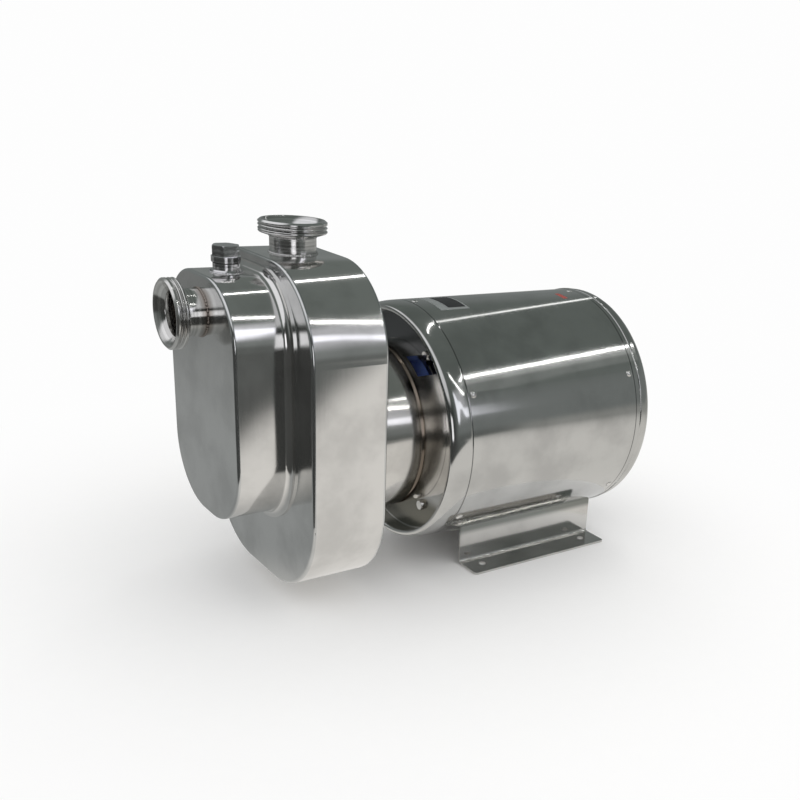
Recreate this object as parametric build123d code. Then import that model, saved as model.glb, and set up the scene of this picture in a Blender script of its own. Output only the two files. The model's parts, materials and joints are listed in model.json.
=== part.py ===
from build123d import *
import math
import os

# A self-priming food-grade pump with a shrouded motor, in millimetres.
# The origin is the middle of the foot's four holes, on the plane that the foot stands on.
# X runs along the shaft from the suction port to the motor, Y is across it and Z is up.

# Shaft line and clearances
shaft_height = 190.0
weld_gap = 0.05
running_gap = 0.05
seal_gap = 0.3
overrun = 1.0

# Tank sheet and outlines
tank_wall = 2.5
face_plate = 4.0
face_round = 3.4
rear_tank_width = 284.0
rear_tank_bottom = 23.0
rear_tank_top = 412.0
rear_tank_low_radius = 106.0
rear_tank_high_radius = 101.0
rear_tank_depth = 94.0
front_tank_width = 186.0
front_tank_bottom = 110.0
front_tank_top = 393.0
front_tank_low_radius = 80.0
front_tank_high_radius = 70.0
front_tank_depth = 66.0
flare_out = 9.0
flare_lip = 2.0

# Ports
tube_radius = 26.5
tube_wall = 1.5
union_radius = 39.0
union_length = 18.5
union_lip = 2.0
union_seat_radius = 35.0
union_seat_depth = 9.0
union_back = 4.5
suction_height = 350.0
suction_neck = 19.5
suction_seat = 3.0
discharge_top = 449.0

# Fill boss and plug
boss_radius = 14.5
boss_height = 10.0
boss_foot = 17.0
boss_foot_height = 3.0
plug_thread_radius = 10.45
plug_thread_length = 12.0
plug_flange_radius = 16.0
plug_flange = 6.0
plug_hex_flats = 27.0
plug_hex_height = 12.0
plug_chamfer = 1.0
plug_crown_radius = 14.6
gasket = 1.5

# Check flap inside the front tank
flap_radius = 30.0
flap_thickness = 4.0
flap_pin_radius = 2.5
flap_knuckle_radius = 4.5
flap_knuckle_width = 14.0
flap_pin_rise = 35.0
flap_arm_width = 10.0
flap_ear_thickness = 3.0
flap_ear_gap = 0.4

# Pump casing, cover and wet end
casing_radius = 107.0
casing_wall = 3.0
casing_length = 68.0
casing_ring_inner = 83.0
casing_ring = 12.0
port_radius = 13.0
port_circle = 88.0
cover_rim_radius = 104.0
cover_rim = 5.0
cover_spigot = 12.0
cover_boss_radius = 32.0
cover_boss = 8.0
seat_radius = 20.0
seat_thickness = 6.0
seat_recess = 2.0
seat_clearance = 1.0
shaft_clearance = 1.5
seal_step = 2.0
bellows_tube = 4.0
bellows_fold = 6.5
bellows_fold_width = 4.0
bellows_folds = 2
diffuser_place = 22.0
diffuser_plate = 6.0
diffuser_vane = 16.0
diffuser_inner = 77.0
diffuser_vanes = 8
diffuser_bow = 0.35
impeller_radius = 72.0
impeller_eye = 27.0
impeller_disc = 4.0
impeller_gap = 1.0
vane_height = 17.0
vane_thickness = 3.0
vanes = 6
vane_bow = 0.75
hub_radius = 16.0
hub_length = 13.0
nut_flats = 22.0
nut_length = 9.0
nut_nose = 9.2
nut_shoulder = 13.6
nut_wall = 2.5
key_width = 4.0
key_height = 4.0
casing_bolt_circle = 91.0
casing_bolt_radius = 4.0
casing_bolts = 8

# Lantern and its bolts
mount_face = -162.0
lantern_length = 33.0
lantern_inner = 100.0
lantern_front_flange = 8.0
lantern_front_bore = 70.0
lantern_flange_radius = 125.0
lantern_flange = 10.0
lantern_spigot = 98.0
window_first_angle = 48.0
window_last_angle = 66.0
window_margin = 2.0
flange_bolt_circle = 115.5
flange_bolt_radius = 4.0
flange_bolt_angle = 60.0

# Shaft
shaft_stub_radius = 7.0
shaft_seat_radius = 9.0
shaft_radius = 12.0
shaft_bearing_radius = 15.0
shaft_core_radius = 19.0
flinger_radius = 26.0
flinger_hub = 5.0
flinger_length = 8.0
flinger_disc = 2.0

# Motor
endshield = 10.0
endshield_spigot = 8.0
motor_radius = 104.0
motor_bore = 96.0
motor_length = 234.0
fin_count = 24
fin_height = 7.0
fin_thickness = 3.0
bearing_radius = 31.0
bearing_width = 16.0
bearing_ring = 4.0
bearing_shield = 1.2
bearing_boss = 8.0
bearing_shoulder = 3.0
stator_length = 130.0
stator_inner = 58.0
air_gap = 0.6
coil_length = 28.0
coil_inner = 63.0
coil_outer = 90.0
rotor_ring = 8.0
rotor_ring_outer = 54.0
rotor_ring_inner = 30.0
fan_radius = 92.0
fan_hub = 22.0
fan_width = 20.0
fan_blades = 7
fan_blade_thickness = 3.0
fan_place = 8.0
terminal_length = 78.0
terminal_width = 66.0
terminal_headroom = 7.0
terminal_wall = 2.5
terminal_place = 20.0
terminal_lid = 2.5

# Shroud
shroud_radius = 156.0
shroud_sheet = 1.5
jacket_front = -156.0
jacket_length = 271.0
joint_flange = 16.0
front_cap_length = 30.0
front_cap_shoulder_step = 3.0
front_cap_crest_step = 7.0
front_cap_depth = 11.0
front_cap_nose = 9.0
front_cap_bulge = 0.6
front_cap_curl = 4.5
front_cap_curl_bulge = 0.9
rear_cap_length = 29.0
rear_cap_round = 13.0
bead_place = 9.0
bead_radius = 2.0
grille_radius = 100.0
grille_hub = 26.0
grille_ribs = 8
grille_rings = 4
grille_bar = 3.0
grille_thickness = 2.5
grille_rim = 12.0
vent_count = 9
vent_length = 18.0
vent_width = 5.0
vent_pitch = 5.0
vent_place = 26.0
screw_radius = 2.4
screw_head_radius = 4.8
screw_head = 2.4
screw_inset = 7.0
screw_length = 3.8
screw_angles = (-38.0, 27.0, 90.0, 153.0, 218.0)

# Cable gland on the rear cap
gland_radius = 10.0
gland_flats = 24.0
gland_hex = 7.0
gland_dome = 13.0
gland_dome_base = 11.5
gland_dome_tip = 8.0
gland_angle = 205.0
cable_bore = 5.0

# Foot bracket
foot_length = 228.0
foot_sheet = 3.0
foot_half_width = 118.0
web_half_width = 78.0
bend_radius = 4.0
foot_corner = 4.0
hole_spacing_x = 176.0
hole_spacing_y = 192.0
foot_hole_radius = 5.0
foot_bolt_radius = 5.0
foot_bolt_inset = 13.0
foot_bolt_spacing = 140.0
foot_bolt_length = 20.0
foot_washer_radius = 9.5
foot_washer = 1.6
foot_pad = 40.0

# Hexagon heads, as shares of their bolt's shank radius
head_flats = 3.3
head_height = 1.32
head_base_radius = 2.05
head_top_radius = 1.49

# Places along the shaft, worked out from the mounting face
lantern_front = mount_face - lantern_length
casing_back = lantern_front - cover_rim
casing_front = casing_back - casing_length
divider = casing_front - rear_tank_depth
front_face = divider - front_tank_depth
collar_front = divider - flare_lip - flare_out
union_back_face = front_face - suction_neck
suction_face = union_back_face - union_length
rear_tank_middle = casing_front - rear_tank_depth / 2
front_tank_middle = divider - front_tank_depth / 2
discharge_back_face = discharge_top - union_length
diffuser_front = casing_front + diffuser_place
diffuser_back = diffuser_front + diffuser_plate
impeller_front = diffuser_back + impeller_gap
impeller_back = impeller_front + vane_height
hub_front = impeller_front + vane_height / 2
hub_back = impeller_back + hub_length
cover_front = casing_back - cover_spigot
cover_back = lantern_front
boss_back = cover_back + cover_boss
seat_front = boss_back - seat_thickness - seat_recess
endshield_front = mount_face + lantern_flange
frame_front = endshield_front + endshield
frame_back = frame_front + motor_length
rear_shield_back = frame_back + endshield
stator_front = frame_front + (motor_length - stator_length) / 2
stator_back = stator_front + stator_length
front_bearing_place = endshield_front + endshield - bearing_width + bearing_boss
rear_bearing_place = frame_back - bearing_boss
fan_front = rear_shield_back + fan_place
shaft_front = hub_front - nut_length
shaft_back = fan_front + fan_width
jacket_back = jacket_front + jacket_length
cap_plate = mount_face - shroud_sheet
front_cap_shoulder = shroud_radius - front_cap_shoulder_step
front_cap_crest = shroud_radius - front_cap_crest_step
front_cap_inner = shroud_radius - front_cap_depth
rear_cap_back = jacket_back + rear_cap_length
gland_circle = (grille_radius + grille_rim + shroud_radius - rear_cap_round) / 2
tube_bore = tube_radius - tube_wall


def bar(radius, start, end, y=0.0, z=shaft_height):
    """A round bar along X."""
    solid = Cylinder(radius, end - start, align=(Align.CENTER, Align.CENTER, Align.MIN))
    return Pos(start, y, z) * Rot(0, 90, 0) * solid


def ring(outer, inner, start, end, y=0.0, z=shaft_height):
    """A plain ring along X."""
    return bar(outer, start, end, y, z) - bar(inner, start - overrun, end + overrun, y, z)


def post(radius, low, high, x=0.0, y=0.0):
    """A round bar along Z."""
    solid = Cylinder(radius, high - low, align=(Align.CENTER, Align.CENTER, Align.MIN))
    return Pos(x, y, low) * solid


def around(angle, radius):
    """Y and Z of a point about the shaft, its angle counted upwards from the near side."""
    turn = math.radians(angle)
    return -radius * math.cos(turn), shaft_height + radius * math.sin(turn)


def radial(solid, x, angle, radius):
    """A solid made along Z, turned to point away from the shaft at that angle."""
    y, z = around(angle, radius)
    return Pos(x, y, z) * Rot(90 - angle, 0, 0) * solid


def block(x0, x1, y0, y1, z0, z1):
    """A box between two corners."""
    solid = Box(x1 - x0, y1 - y0, z1 - z0, align=(Align.MIN, Align.MIN, Align.MIN))
    return Pos(x0, y0, z0) * solid


def tank_outline(width, bottom, top, radii, inset=0.0):
    """A rounded tank outline across the shaft, moved inwards by the inset."""
    low_radius, high_radius = radii
    wide = width - 2 * inset
    high = top - bottom - 2 * inset
    outline = Rectangle(wide, high)
    outline = fillet(outline.vertices().group_by(Axis.Y)[-1], high_radius - inset)
    outline = fillet(outline.vertices().group_by(Axis.Y)[0], low_radius - inset)
    return Pos(0, (top + bottom) / 2) * outline


def slab(outline, start, end):
    """An outline pushed along X."""
    return extrude(Plane.YZ.offset(start) * outline, amount=end - start)


def rear_outline(inset=0.0):
    radii = (rear_tank_low_radius, rear_tank_high_radius)
    return tank_outline(rear_tank_width, rear_tank_bottom, rear_tank_top, radii, inset)


def front_outline(inset=0.0):
    radii = (front_tank_low_radius, front_tank_high_radius)
    return tank_outline(front_tank_width, front_tank_bottom, front_tank_top, radii, inset)


def rounded_plate(outline, start, end, outer_x):
    """A tank's face plate with its outer edge ground round."""
    plate = slab(outline, start, end)
    edges = plate.edges().filter_by_position(Axis.X, outer_x - weld_gap, outer_x + weld_gap)
    return fillet(edges, face_round)


def upright_cone(low_radius, high_radius, height):
    """A cone along Z, standing on its base."""
    return Cone(low_radius, high_radius, height, align=(Align.CENTER, Align.CENTER, Align.MIN))


def hexagon(flats, height):
    """A hexagonal block standing on its base."""
    profile = RegularPolygon(flats / 2, 6, major_radius=False)
    return extrude(profile, amount=height)


def hex_bolt(radius, length):
    """A hexagon bolt along Z, its head above the origin and its shank below."""
    height = head_height * radius
    head = hexagon(head_flats * radius, height)
    crown = upright_cone(head_base_radius * radius, head_top_radius * radius, height)
    shank = Cylinder(radius - weld_gap, length, align=(Align.CENTER, Align.CENTER, Align.MAX))
    return (head & crown) + shank


def union_profile():
    """A dairy union's threaded end along Z, its sealing face at the origin."""
    body = Cylinder(union_radius, union_length - union_back, align=(Align.CENTER, Align.CENTER, Align.MAX))
    body = chamfer(body.edges().group_by(Axis.Z)[-1], union_lip)
    taper = Pos(0, 0, -union_length) * upright_cone(tube_radius, union_radius, union_back)
    seat = Pos(0, 0, -union_seat_depth) * upright_cone(tube_bore, union_seat_radius, union_seat_depth)
    bore = Cylinder(tube_bore, 3 * union_length)
    return body + taper - seat - bore


def suction_union():
    return Pos(suction_face, 0, suction_height) * Rot(0, -90, 0) * union_profile()


def suction_stub():
    end = front_face + face_plate + suction_seat
    return ring(tube_radius, tube_bore, union_back_face, end, z=suction_height)


def front_tank_plate():
    plate = rounded_plate(front_outline(), front_face, front_face + face_plate, front_face)
    return plate - bar(tube_radius + weld_gap, front_face - overrun, divider, z=suction_height)


def front_tank_shell():
    start = front_face + face_plate
    shell = slab(front_outline(), start, collar_front)
    shell = shell - slab(front_outline(tank_wall), start - overrun, collar_front + overrun)
    return shell - post(boss_radius + weld_gap, shaft_height, front_tank_top + overrun, x=front_tank_middle)


def front_tank_collar():
    """The flared collar that joins the front tank's wall to the rear tank."""
    lip = slab(front_outline(-flare_out), divider - flare_lip, divider)
    collar = slab(front_outline(), collar_front, divider) + lip
    collar = fillet(flare_corner(collar), flare_out - flare_lip / 2)
    return collar - slab(front_outline(tank_wall), collar_front - overrun, divider + overrun)


def flare_corner(collar):
    """The edges where the collar's wall meets its flared lip, without the lip's own outer edges."""
    place = divider - flare_lip
    side = front_tank_width / 2 + weld_gap
    low = front_tank_bottom - weld_gap
    high = front_tank_top + weld_gap
    edges = collar.edges().filter_by_position(Axis.X, place - weld_gap, place + weld_gap)
    return edges.filter_by(lambda edge: all(abs(v.Y) < side and low < v.Z < high for v in edge.vertices()))


def fill_boss():
    low = front_tank_top - tank_wall
    boss = post(boss_radius, low, front_tank_top + boss_height, x=front_tank_middle)
    foot = Pos(front_tank_middle, 0, front_tank_top) * upright_cone(boss_foot, boss_radius, boss_foot_height)
    high = front_tank_top + boss_height + overrun
    bore = post(plug_thread_radius + running_gap, low - overrun, high, x=front_tank_middle)
    return boss + foot - bore


def fill_gasket():
    low = front_tank_top + boss_height
    outer = post(boss_radius, low, low + gasket, x=front_tank_middle)
    bore = post(plug_thread_radius + running_gap, low - overrun, low + gasket + overrun, x=front_tank_middle)
    return outer - bore


def fill_plug():
    seat = front_tank_top + boss_height + gasket
    flange = post(plug_flange_radius, seat, seat + plug_flange, x=front_tank_middle)
    head = Pos(front_tank_middle, 0, seat + plug_flange) * hexagon(plug_hex_flats, plug_hex_height)
    crown = upright_cone(plug_crown_radius + plug_hex_height, plug_crown_radius, plug_hex_height)
    crown = Pos(front_tank_middle, 0, seat + plug_flange) * crown
    thread = post(plug_thread_radius, seat - plug_thread_length, seat, x=front_tank_middle)
    thread = chamfer(thread.edges().group_by(Axis.Z)[0], plug_chamfer)
    return flange + (head & crown) + thread


def flap_places():
    """X and Z of the check flap's pin."""
    seat = front_face + face_plate + suction_seat
    return seat + seal_gap + flap_thickness / 2, suction_height + flap_pin_rise


def check_flap():
    pin_x, pin_z = flap_places()
    start = pin_x - flap_thickness / 2
    disc = bar(flap_radius, start, start + flap_thickness, z=suction_height)
    half = flap_arm_width / 2
    arm = block(start, start + flap_thickness, -half, half, suction_height, pin_z)
    pin_line = Pos(pin_x, 0, pin_z) * Rot(90, 0, 0)
    knuckle = pin_line * Cylinder(flap_knuckle_radius, flap_knuckle_width)
    pin_hole = pin_line * Cylinder(flap_pin_radius + running_gap, 2 * flap_knuckle_width)
    return disc + arm + knuckle - pin_hole


def flap_span():
    """Half the distance over the outer faces of the check flap's two ears."""
    return flap_knuckle_width / 2 + flap_ear_gap + flap_ear_thickness


def flap_pin():
    pin_x, pin_z = flap_places()
    return Pos(pin_x, 0, pin_z) * Rot(90, 0, 0) * Cylinder(flap_pin_radius, 2 * flap_span())


def flap_ears():
    pin_x, pin_z = flap_places()
    plate = front_face + face_plate
    low = pin_z - flap_knuckle_radius
    high = pin_z + flap_knuckle_radius
    inner = flap_knuckle_width / 2 + flap_ear_gap
    half = flap_ear_thickness / 2
    ears = []
    for middle in (-inner - half, inner + half):
        pin_line = Pos(pin_x, middle, pin_z) * Rot(90, 0, 0)
        arm = block(plate, pin_x, middle - half, middle + half, low, high)
        end = pin_line * Cylinder(flap_knuckle_radius, flap_ear_thickness)
        pin_hole = pin_line * Cylinder(flap_pin_radius + weld_gap, 2 * flap_ear_thickness)
        ears.append(arm + end - pin_hole)
    return ears


def rear_tank_front_plate():
    plate = rounded_plate(rear_outline(), divider, divider + face_plate, divider)
    return plate - bar(tube_radius + weld_gap, divider - overrun, casing_front)


def rear_tank_shell():
    start = divider + face_plate
    end = casing_front - face_plate
    shell = slab(rear_outline(), start, end) - slab(rear_outline(tank_wall), start - overrun, end + overrun)
    return shell - post(tube_radius + weld_gap, shaft_height, rear_tank_top + overrun, x=rear_tank_middle)


def rear_tank_back_plate():
    start = casing_front - face_plate
    plate = rounded_plate(rear_outline(), start, casing_front, casing_front)
    plate = plate - bar(tube_radius + weld_gap, divider, diffuser_front)
    for angle in (90.0, 270.0):
        y, z = around(angle, port_circle)
        plate = plate - bar(port_radius, start - overrun, casing_front + overrun, y, z)
    return plate


def discharge_stub():
    low = rear_tank_top - tank_wall
    high = discharge_back_face
    outer = post(tube_radius, low, high, x=rear_tank_middle)
    return outer - post(tube_bore, low - overrun, high + overrun, x=rear_tank_middle)


def discharge_union():
    return Pos(rear_tank_middle, 0, discharge_back_face + union_length) * union_profile()


def suction_tube():
    return ring(tube_radius, tube_bore, divider, diffuser_back)


def pump_casing():
    shell = ring(casing_radius, casing_radius - casing_wall, casing_front, casing_back)
    ring_front = casing_back - casing_ring
    casing = shell + ring(casing_radius - casing_wall / 2, casing_ring_inner, ring_front, casing_back)
    for angle in bolt_angles(casing_bolts):
        y, z = around(angle, casing_bolt_circle)
        casing = casing - bar(casing_bolt_radius, ring_front - overrun, casing_back + overrun, y, z)
    return casing


def bolt_angles(count):
    """Evenly spaced angles with no bolt at the very top."""
    return [(index + 0.5) * 360.0 / count for index in range(count)]


def curved_vane(inner, outer, start, end, bow):
    """One vane that sweeps back from the inner radius to the outer one."""
    sweep = (inner + outer) / 2
    half = vane_thickness / 2
    arc_band = Pos(0, bow * sweep) * (Circle(sweep + half) - Circle(sweep - half))
    side = Pos(outer / 2, 0) * Rectangle(outer, 4 * outer)
    band = (Circle(outer) - Circle(inner)) & arc_band & side
    return Pos(0, 0, shaft_height) * slab(band, start, end)


def turned(solid, angle):
    """A solid turned about the shaft."""
    return Pos(0, 0, shaft_height) * Rot(angle, 0, 0) * Pos(0, 0, -shaft_height) * solid


def diffuser():
    inner_radius = casing_radius - casing_wall - weld_gap
    body = ring(inner_radius, tube_radius + weld_gap, diffuser_front, diffuser_back)
    vane_end = diffuser_back + diffuser_vane
    vane = curved_vane(diffuser_inner, inner_radius, diffuser_back, vane_end, diffuser_bow)
    for index in range(diffuser_vanes):
        body = body + turned(vane, index * 360.0 / diffuser_vanes)
    slot = bar(port_radius / 2, diffuser_front - overrun, diffuser_back + overrun, *around(90.0, port_circle))
    for index in range(diffuser_vanes):
        body = body - turned(slot, (index + 0.5) * 360.0 / diffuser_vanes)
    return body


def impeller():
    body = bar(impeller_radius, impeller_back, impeller_back + impeller_disc)
    body = body + bar(hub_radius, hub_front, hub_back)
    vane = curved_vane(impeller_eye, impeller_radius, impeller_front, impeller_back + overrun, vane_bow)
    for index in range(vanes):
        body = body + turned(vane, index * 360.0 / vanes)
    body = body - bar(shaft_seat_radius + running_gap, hub_front - overrun, hub_back + overrun)
    half = key_width / 2 + running_gap
    top = shaft_height + shaft_seat_radius + key_height / 2 + running_gap
    return body - block(hub_front - overrun, hub_back + overrun, -half, half, shaft_height, top)


def impeller_key():
    half = key_width / 2
    low = shaft_height + shaft_seat_radius - key_height / 2
    return block(hub_front, hub_back, -half, half, low, low + key_height)


def impeller_nut():
    nut = hexagon(nut_flats, nut_length) & upright_cone(nut_nose, nut_shoulder, nut_length)
    nut = Pos(shaft_front, 0, shaft_height) * Rot(0, 90, 0) * nut
    return nut - bar(shaft_stub_radius + weld_gap, shaft_front + nut_wall, hub_front + overrun)


def seal_bellows():
    inner = shaft_radius + running_gap
    end = seat_front - seal_gap - seat_thickness
    pitch = (end - hub_back) / (bellows_folds + 1)
    body = ring(shaft_radius + bellows_tube, inner, hub_back, end)
    for index in range(bellows_folds):
        start = hub_back + (index + 1) * pitch - bellows_fold_width / 2
        body = body + ring(shaft_radius + bellows_fold, inner, start, start + bellows_fold_width)
    return body


def seal_face():
    end = seat_front - seal_gap
    return ring(seat_radius - seal_step, shaft_radius + running_gap, end - seat_thickness, end)


def seal_seat():
    return ring(seat_radius, shaft_radius + shaft_clearance, seat_front, seat_front + seat_thickness)


def back_cover():
    cover = bar(cover_rim_radius, casing_back, cover_back)
    cover = cover + bar(casing_ring_inner - weld_gap, cover_front, cover_back)
    cover = cover + bar(cover_boss_radius, cover_front, boss_back)
    cover = cover - bar(seat_radius + seat_clearance, cover_front - overrun, seat_front)
    cover = cover - bar(seat_radius + weld_gap, cover_front, seat_front + seat_thickness)
    cover = cover - bar(shaft_radius + shaft_clearance, cover_front, boss_back + overrun)
    for angle in bolt_angles(casing_bolts):
        y, z = around(angle, casing_bolt_circle)
        cover = cover - bar(casing_bolt_radius, casing_back - overrun, cover_back + overrun, y, z)
    return cover


def casing_bolt_set():
    head_seat = lantern_front + lantern_front_flange
    length = head_seat - casing_back + casing_ring
    bolt = Rot(0, 90, 0) * hex_bolt(casing_bolt_radius, length)
    return [Pos(head_seat, *around(angle, casing_bolt_circle)) * bolt for angle in bolt_angles(casing_bolts)]


def lantern():
    body = ring(casing_radius, lantern_inner, lantern_front, mount_face + lantern_flange)
    front_end = lantern_front + lantern_front_flange
    body = body + ring(lantern_inner + overrun, lantern_front_bore, lantern_front, front_end)
    body = body + ring(lantern_flange_radius, lantern_spigot, mount_face, mount_face + lantern_flange)
    for angle in bolt_angles(casing_bolts):
        y, z = around(angle, casing_bolt_circle)
        body = body - bar(casing_bolt_radius, lantern_front - overrun, front_end + overrun, y, z)
    for angle in flange_angles():
        y, z = around(angle, flange_bolt_circle)
        body = body - bar(flange_bolt_radius, mount_face - overrun, endshield_front + overrun, y, z)
    start = front_end + window_margin / 2
    end = mount_face - window_margin
    for first in (window_first_angle, 180.0 - window_last_angle):
        body = body - window_cut(first, first + window_last_angle - window_first_angle, start, end)
    return body


def window_cut(first, last, start, end):
    """A wedge that opens the lantern's wall between two angles."""
    far = 2 * casing_radius
    corners = [(0.0, 0.0)]
    for share in (0.0, 0.5, 1.0):
        y, z = around(first + share * (last - first), far)
        corners.append((y, z - shaft_height))
    wedge = Pos(0, shaft_height) * make_face(Polyline(*corners, close=True))
    solid = slab(wedge, start, end)
    return solid - bar(lantern_inner - overrun, start - overrun, end + overrun)


def flange_angles():
    return [flange_bolt_angle, 180.0 - flange_bolt_angle, -flange_bolt_angle, 180.0 + flange_bolt_angle]


def flange_bolt_set():
    length = endshield_front + endshield - cap_plate
    bolt = Rot(0, -90, 0) * hex_bolt(flange_bolt_radius, length)
    return [Pos(cap_plate, *around(angle, flange_bolt_circle)) * bolt for angle in flange_angles()]


def water_flinger():
    middle = (boss_back + mount_face) / 2
    inner = shaft_radius + weld_gap
    body = ring(shaft_radius + flinger_hub, inner, middle - flinger_length / 2, middle + flinger_length / 2)
    return body + ring(flinger_radius, inner, middle - flinger_disc / 2, middle + flinger_disc / 2)


def shaft():
    body = bar(shaft_stub_radius, shaft_front + nut_wall + running_gap, hub_front)
    body = body + bar(shaft_seat_radius, hub_front, hub_back)
    body = body + bar(shaft_radius, hub_back, front_bearing_place)
    body = body + bar(shaft_bearing_radius, front_bearing_place, rear_bearing_place + bearing_width)
    body = body + bar(shaft_core_radius, front_bearing_place + bearing_width, rear_bearing_place)
    body = body + bar(shaft_radius, rear_bearing_place + bearing_width, shaft_back)
    half = key_width / 2 + weld_gap
    low = shaft_height + shaft_seat_radius - key_height / 2 - weld_gap
    return body - block(hub_front, hub_back, -half, half, low, shaft_height + 2 * shaft_seat_radius)


def motor_front_endshield():
    body = bar(lantern_flange_radius, endshield_front, frame_front)
    body = body + bar(lantern_spigot - weld_gap, endshield_front - endshield_spigot, endshield_front)
    boss_end = front_bearing_place + bearing_width
    body = body + bar(bearing_radius + bearing_boss, endshield_front, boss_end)
    body = body - bar(bearing_radius + weld_gap, front_bearing_place, boss_end + overrun)
    shaft_hole = shaft_radius + shaft_clearance
    body = body - bar(shaft_hole, endshield_front - 2 * endshield_spigot, front_bearing_place + overrun)
    for angle in flange_angles():
        y, z = around(angle, flange_bolt_circle)
        body = body - bar(flange_bolt_radius, endshield_front - overrun, frame_front + overrun, y, z)
    return body


def bearing_outer(place):
    outer_ring = ring(bearing_radius, bearing_radius - bearing_ring, place, place + bearing_width)
    outer = bearing_radius - bearing_ring / 2
    inner = shaft_bearing_radius + bearing_ring + seal_gap
    for start in (place + bearing_shield, place + bearing_width - 2 * bearing_shield):
        outer_ring = outer_ring + ring(outer, inner, start, start + bearing_shield)
    return outer_ring


def bearing_inner(place):
    inner = shaft_bearing_radius + weld_gap
    return ring(shaft_bearing_radius + bearing_ring, inner, place, place + bearing_width)


def motor_frame():
    body = ring(motor_radius, motor_bore, frame_front, frame_back)
    fin = Box(motor_length - 2 * endshield, fin_thickness, 2 * fin_height)
    for index in range(fin_count):
        angle = (index + 0.5) * 360.0 / fin_count
        body = body + radial(fin, (frame_front + frame_back) / 2, angle, motor_radius)
    reach = shroud_radius - shroud_sheet - weld_gap
    pad_shape = Box(foot_pad, foot_pad, reach, align=(Align.CENTER, Align.CENTER, Align.MIN))
    envelope = ring(reach, (motor_bore + motor_radius) / 2, frame_front, frame_back)
    for x, angle in foot_bolt_places():
        pad = radial(pad_shape, x, angle, 0.0) & envelope
        hole = radial(Cylinder(foot_bolt_radius, foot_pad), x, angle, reach)
        body = body + pad - hole
    return body


def foot_bolt_places():
    """X and angle of each bolt that holds the foot bracket to the motor."""
    half = foot_bolt_spacing / 2
    bolt_y = web_half_width - foot_sheet - foot_bolt_inset
    angle = math.degrees(math.asin(bolt_y / (shroud_radius + foot_sheet)))
    return [(x, 270.0 + side * angle) for x in (-half, half) for side in (-1, 1)]


def stator_core():
    return ring(motor_bore - weld_gap, stator_inner, stator_front, stator_back)


def winding(start):
    end = start + coil_length
    body = ring(coil_outer, coil_inner, start, end)
    return fillet(body.edges(), (coil_outer - coil_inner) / 4)


def rotor():
    body = ring(stator_inner - air_gap, shaft_core_radius + weld_gap, stator_front, stator_back)
    for start in (stator_front - rotor_ring, stator_back):
        body = body + ring(rotor_ring_outer, rotor_ring_inner, start, start + rotor_ring)
    return body


def motor_rear_endshield():
    body = bar(motor_radius, frame_back, rear_shield_back)
    body = body + bar(motor_bore - weld_gap, frame_back - endshield_spigot, frame_back)
    body = body + bar(bearing_radius + bearing_boss, rear_bearing_place, rear_shield_back)
    bearing_end = rear_bearing_place + bearing_width
    body = body - bar(bearing_radius + weld_gap, rear_bearing_place - overrun, bearing_end)
    return body - bar(shaft_radius + shaft_clearance, rear_bearing_place, rear_shield_back + overrun)


def cooling_fan():
    end = fan_front + fan_width
    body = ring(fan_hub, shaft_radius + weld_gap, fan_front, end)
    body = body + ring(fan_radius, fan_hub - overrun, fan_front, fan_front + fan_blade_thickness)
    half = fan_blade_thickness / 2
    blade = block(fan_front, end, -half, half, shaft_height + fan_hub - overrun, shaft_height + fan_radius)
    for index in range(fan_blades):
        body = body + turned(blade, index * 360.0 / fan_blades)
    return body


def terminal_base():
    """Height of the terminal box's floor, just above the motor's fins."""
    return shaft_height + motor_radius + fin_height


def terminal_top():
    """Height of the terminal box's rim, which leaves room for the cover under the shroud."""
    reach = shroud_radius - shroud_sheet - terminal_headroom
    return shaft_height + math.sqrt(reach**2 - (terminal_width / 2) ** 2) - terminal_lid


def terminal_block(inset, low, high):
    """A block between two heights in the terminal box's outline, moved inwards by the inset."""
    half_length = terminal_length / 2 - inset
    half_width = terminal_width / 2 - inset
    return block(terminal_place - half_length, terminal_place + half_length, -half_width, half_width, low, high)


def terminal_box():
    low = terminal_base()
    box = terminal_block(0.0, low, terminal_top())
    box = box - terminal_block(terminal_wall, low + terminal_wall, terminal_top() + overrun)
    neck = terminal_block(terminal_width / 3, low - fin_height, low)
    motor = bar(motor_radius + fin_height / 2, terminal_place - terminal_length, terminal_place + terminal_length)
    return box + (neck - motor)


def terminal_cover():
    return terminal_block(0.0, terminal_top(), terminal_top() + terminal_lid)


def front_cap_ring(inset):
    """The front cap's hollow rim as a turned solid, its skin moved inwards by the inset."""
    nose = jacket_front - front_cap_length + inset
    outer = (jacket_front, shroud_radius - inset)
    shoulder = (nose - inset + front_cap_nose, front_cap_shoulder - inset)
    crest = (nose, front_cap_crest)
    curl = (nose + front_cap_curl, front_cap_inner + inset)
    inner = (jacket_front, front_cap_inner + inset)
    over = (nose + front_cap_nose / 4, (shoulder[1] + crest[1]) / 2 + front_cap_bulge)
    under = (nose + front_cap_curl_bulge, (crest[1] + curl[1]) / 2 - front_cap_curl_bulge)
    outline = [
        Line(outer, shoulder),
        ThreePointArc(shoulder, over, crest),
        ThreePointArc(crest, under, curl),
        Line(curl, inner),
        Line(inner, outer),
    ]
    profile = Plane.XZ * make_face(outline)
    return Pos(0, 0, shaft_height) * revolve(profile, axis=Axis.X)


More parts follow.
